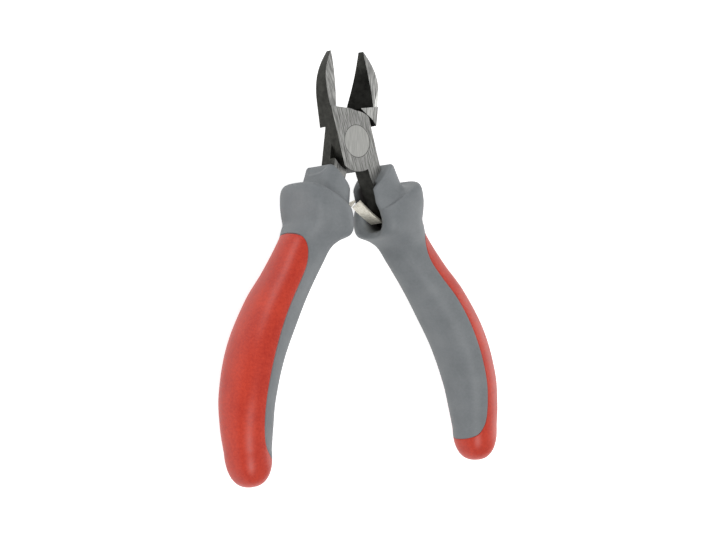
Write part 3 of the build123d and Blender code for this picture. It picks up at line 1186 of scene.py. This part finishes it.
    def close(self, points: np.ndarray, name: str, recess: np.ndarray,
              finish: Material) -> Object:
        """A closed moulding from its outer surface: the two seam edges are joined row by row.

        Args:
            points: places in the closed layout, rows by columns.
            name: name of the piece.
            recess: share by which each point lies in the channel.
            finish: its material.

        Returns:
            The mesh object.
        """
        rows, columns = points.shape[:2]
        faces = grid_faces(rows, columns)
        first = np.arange(rows - 1) * columns
        last = first + columns - 1
        parting = np.stack([first, first + columns, last + columns, last], axis=1)
        every = np.vstack([faces, parting[:, ::-1]])
        piece = mesh_piece(name, self.place(points), every, self.weld, recess.ravel())
        piece.data.materials.append(finish)
        return piece

    def sleeve(self) -> Object:
        """The soft grey moulding with neck, guard, channel and the inner half of the handle.

        It covers what the seam's turn leaves over, a half turn less the seam on either side.

        Returns:
            The sleeve.
        """
        inner = self.inner_columns(*self.channel_crowd)
        guard = np.arange(self.form.top + self.rim_round, self.guard_end, self.guard_pitch)
        seam_end = self.form.seam_station[-1]
        body = self.body_stations(self.guard_end, seam_end, self.sleeve_pitch)
        stations = np.concatenate([guard, body])
        turn = self.turns(np.pi, np.pi - self.form.seam_width(stations), inner)
        upper = self.neck_rows(turn[0])
        plain = np.concatenate([upper, self.lipped(stations, turn)[1:]])
        points, recess = self.open_channel(plain)
        name = f"moulded_sleeve_{self.side.word}"
        return self.close(points, name, recess, self.sleeve_finish)

    def core(self) -> Object:
        """The hard red moulding with the outer half and the end of the handle.

        It covers the seam's turn on either side, and its end rows follow a quarter sine.

        Returns:
            The core.
        """
        inner = self.inner_columns(0.0, 0.0, 1.0)
        start, dome = self.form.seam_station[0], self.form.dome_start
        body = self.body_stations(start, dome, self.core_pitch)
        rise = np.sin(np.linspace(0.0, np.pi / 2, self.dome_rows))[1:]
        below_seam = self.form.seam_station[-1] + 1.0
        near_seam = self.body_stations(dome, below_seam, self.dome_pitch)
        cap = np.unique(np.concatenate([dome + (self.form.end - dome) * rise, near_seam]))
        stations = np.concatenate([body, cap[cap > body[-1] + self.row_gap]])
        turn = self.turns(0.0, self.form.seam_width(stations), inner)
        level = np.zeros(turn.shape)
        name = f"moulded_core_{self.side.word}"
        return self.close(self.lipped(stations, turn), name, level, self.core_finish)


@dataclass
class LeafSpring:
    """One bowed leaf with rounded edges and a slanted free end, in the row frame."""

    side: Side
    finish: Material
    root: Place = (8.3, -20.9, -3.7)
    rest_angle: float = 142.75
    length: float = 9.486
    bow: float = 0.25
    thickness: float = 0.6
    width: float = 4.7
    end_slant: float = 22.0
    edge_round: float = 0.16
    corner_steps: int = 5
    rings: int = 40
    end_scales: tuple[float, ...] = (0.85, 0.5, 0.0)
    weld: float = 1e-6

    def build(self) -> Object:
        """Sweeps the rounded strip along its bow.

        A point is at a share of the slanted length along the leaf, lifted by the parabola of
        the bow, and set out by the rounded rectangle of the section.

        Returns:
            The leaf.
        """
        corner = np.linspace(0.0, np.pi / 2, self.corner_steps)
        deep, wide = self.thickness / 2 - self.edge_round, self.width / 2 - self.edge_round
        corners = ((1, 1, 0.0), (-1, 1, np.pi / 2), (-1, -1, np.pi), (1, -1, 1.5 * np.pi))
        loops = [
            (sx * deep + self.edge_round * np.cos(corner + start),
             sz * wide + self.edge_round * np.sin(corner + start))
            for sx, sz, start in corners
        ]
        lift = np.concatenate([loop[0] for loop in loops] + [loops[0][0][:1]])
        rise = np.concatenate([loop[1] for loop in loops] + [loops[0][1][:1]])
        ends = np.ones(len(self.end_scales))
        along = np.concatenate([[0.0], np.linspace(0.0, 1.0, self.rings), ends])[:, None]
        scale = np.concatenate([[0.0], np.ones(self.rings), self.end_scales])[:, None]
        across = rise[None, :] * (scale > 0.0)
        slant = math.tan(math.radians(self.end_slant))
        reach = self.length - slant * (self.width / 2 - across)
        distance = along * (reach - self.edge_round * np.clip((scale - 0.5) / 0.5, 0.0, 1.0))
        share = distance / self.length
        height = 4.0 * self.bow * share * (1.0 - share) + lift[None, :] * scale
        turn = math.radians(self.rest_angle)
        x = self.root[0] + distance * math.cos(turn) - height * math.sin(turn)
        y = self.root[1] + distance * math.sin(turn) + height * math.cos(turn)
        points = np.stack([self.side.value * x, y, self.root[2] + across], axis=-1) * MM
        faces = grid_faces(*points.shape[:2])
        piece = mesh_piece(f"leaf_{self.side.word}", points.reshape(-1, 3), faces, self.weld)
        piece.data.materials.append(self.finish)
        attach(piece, self.side.leaf_body)
        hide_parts(f"leaf_spring_{self.side.word}")
        LOG.info("%s: %d faces", piece.name, len(piece.data.polygons))
        return piece


@dataclass
class SteelHead:
    """The two levers and the rivet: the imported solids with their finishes."""

    front_finish: Material
    back_finish: Material
    rivet_finish: Material

    def dress(self) -> None:
        """Gives each packed steel node its finish."""
        pairs = (("front_lever", self.front_finish), ("back_lever", self.back_finish),
                 ("joint_rivet", self.rivet_finish))
        for node, finish in pairs:
            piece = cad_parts[node]
            piece.data.materials.clear()
            piece.data.materials.append(finish)
            LOG.info("%s: %s", node, finish.name)


@dataclass(frozen=True)
class Lamp:
    """A square soft lamp that looks at the handles just below the joint."""

    name: str
    place: Place
    size: float
    power: float
    target: Place = (0.0, -0.03, 0.0)

    def build(self) -> Object:
        """Puts the lamp into the scene, its -Z axis towards its target.

        Returns:
            The lamp.
        """
        data = bpy.data.lights.new(self.name, "AREA")
        data.shape = "SQUARE"
        data.size = self.size
        data.energy = self.power
        lamp = new_object(self.name, data)
        lamp.location = self.place
        aim = Vector(self.target) - Vector(self.place)
        lamp.rotation_mode = "QUATERNION"
        lamp.rotation_quaternion = aim.to_track_quat("-Z", "Y")
        return lamp


@dataclass
class Studio:
    """Pale floor, soft lamps, white surroundings and the camera at the photograph's place."""

    eye: Place = (-0.34538, -0.04892, 0.39858)
    ahead: Place = (0.65179, 0.03030, -0.75780)
    right: Place = (0.75782, -0.06521, 0.64920)
    up: Place = (0.02975, 0.99741, 0.06547)
    focal_pixels: float = 2067.85
    picture_width: float = 716.0
    sensor: float = 36.0
    clip: Range = (0.01, 20.0)
    floor_half: float = 3.0
    ambient: float = 0.36
    gloss_white: float = 0.6
    lamps: tuple[Lamp, ...] = (
        Lamp("upper_left", (-0.38, 0.75, 0.28), 0.4, 2.3),
        Lamp("lower_left", (-0.4, -0.45, 0.75), 0.45, 3.9),
        Lamp("right_card", (0.75, -0.05, 0.26), 0.5, 2.0),
    )

    def build(self) -> None:
        """Makes the floor, the world, the lamps and the camera."""
        self.floor()
        self.world()
        for lamp in self.lamps:
            lamp.build()
        self.camera()

    def floor(self) -> Object:
        """A wide pale floor under the lowest point of the tool.

        Returns:
            The floor.
        """
        low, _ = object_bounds()
        half = self.floor_half
        corners = [(sx * half, sy * half, low.z) for sx, sy in ((-1, -1), (1, -1), (1, 1), (-1, 1))]
        mesh = bpy.data.meshes.new("floor")
        mesh.from_pydata(corners, [], [(0, 1, 2, 3)])
        piece = new_object("floor", mesh)
        mesh.materials.append(FloorFinish("pale_floor").build())
        piece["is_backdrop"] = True
        return piece

    def world(self) -> None:
        """White for the camera and gloss, softer light for the rest."""
        world = bpy.data.worlds.new("studio")
        bpy.context.scene.world = world
        world.use_nodes = True
        graph = Graph(world.node_tree)
        rays = graph.node("ShaderNodeLightPath", {}).outputs
        gloss = graph.span(rays["Is Glossy Ray"], (0.0, 1.0), (self.ambient, self.gloss_white))
        seen = graph.calc(Step.GREATER, rays["Is Camera Ray"], rays["Is Transmission Ray"])
        strength = graph.calc(Step.GREATER, seen, gloss)
        graph.fill(graph.tree.nodes["Background"], {"Color": WHITE, "Strength": strength})

    def camera(self) -> None:
        """The camera fitted to the photograph: focal length in pixels over width times sensor."""
        data = bpy.data.cameras.new("camera")
        data.sensor_width = self.sensor
        data.lens = self.focal_pixels / self.picture_width * self.sensor
        data.clip_start, data.clip_end = self.clip
        camera = new_object("camera", data)
        back = tuple(-value for value in self.ahead)
        columns = (self.right, self.up, back)
        turned = Matrix([[column[row] for column in columns] for row in range(3)]).to_4x4()
        camera.matrix_world = Matrix.Translation(Vector(self.eye)) @ turned
        bpy.context.scene.camera = camera


def main() -> None:
    """Builds every piece in order."""
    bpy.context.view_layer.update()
    bpy.context.scene.view_settings.view_transform = "Standard"
    Studio().build()
    SteelHead(
        SteelFinish("front_steel", -OPEN_HALF_ANGLE, highlight_start=9.5).build(),
        SteelFinish("back_steel", OPEN_HALF_ANGLE, highlight_start=4.0).build(),
        RivetFinish("rivet_head").build(),
    ).dress()
    grey = MouldedFinish("grey_soft", dark=(0.175, 0.19, 0.20), light=(0.225, 0.24, 0.25),
                         gloss=(0.5, 0.6), speckle=0.45, grain_depth=0.014 * MM, sheen=0.05)
    red = MouldedFinish("red_hard", dark=(0.48, 0.022, 0.007), light=(0.65, 0.052, 0.020),
                        gloss=(0.38, 0.46), speckle=0.6, grain_depth=0.02 * MM)
    sleeve_finish, core_finish = grey.build(), red.build()
    nickel = NickelFinish("nickel_leaf").build()
    form = HandleForm()
    LOG.info("seam from station %.2f to %.2f", form.seam_station[0], form.seam_station[-1])
    for side in Side:
        Grip(side, form, sleeve_finish, core_finish).build()
        LeafSpring(side, nickel).build()


if __name__ == "__main__":
    main()
